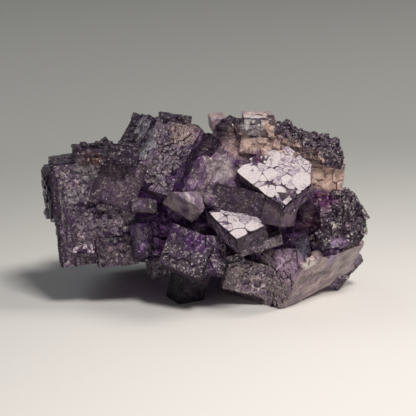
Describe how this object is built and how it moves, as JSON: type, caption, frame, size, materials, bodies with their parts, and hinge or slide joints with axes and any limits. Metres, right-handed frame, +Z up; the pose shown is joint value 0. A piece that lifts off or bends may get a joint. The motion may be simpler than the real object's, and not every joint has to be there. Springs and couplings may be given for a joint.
{
  "type": "fluorite specimen",
  "caption": "Cabinet-size cluster of intergrown purple fluorite cubes with mosaic faces, a crust of small cubes and a broken, flat base to rest on",
  "frame": {"origin": "middle of the bounding box at the base, on the surface that the specimen rests on", "axes": "+Z up; +X along the specimen's length, to the right as seen from its front; -Y out of its front"},
  "size_m": [0.1012, 0.0624, 0.0579],
  "materials": {
    "fluorite": "glassy dark purple crystal, partly see-through, with matt grey etched mosaic faces"
  },
  "bodies": {
    "root": {"fluorite_cluster": "fluorite"}
  },
  "joints": []
}
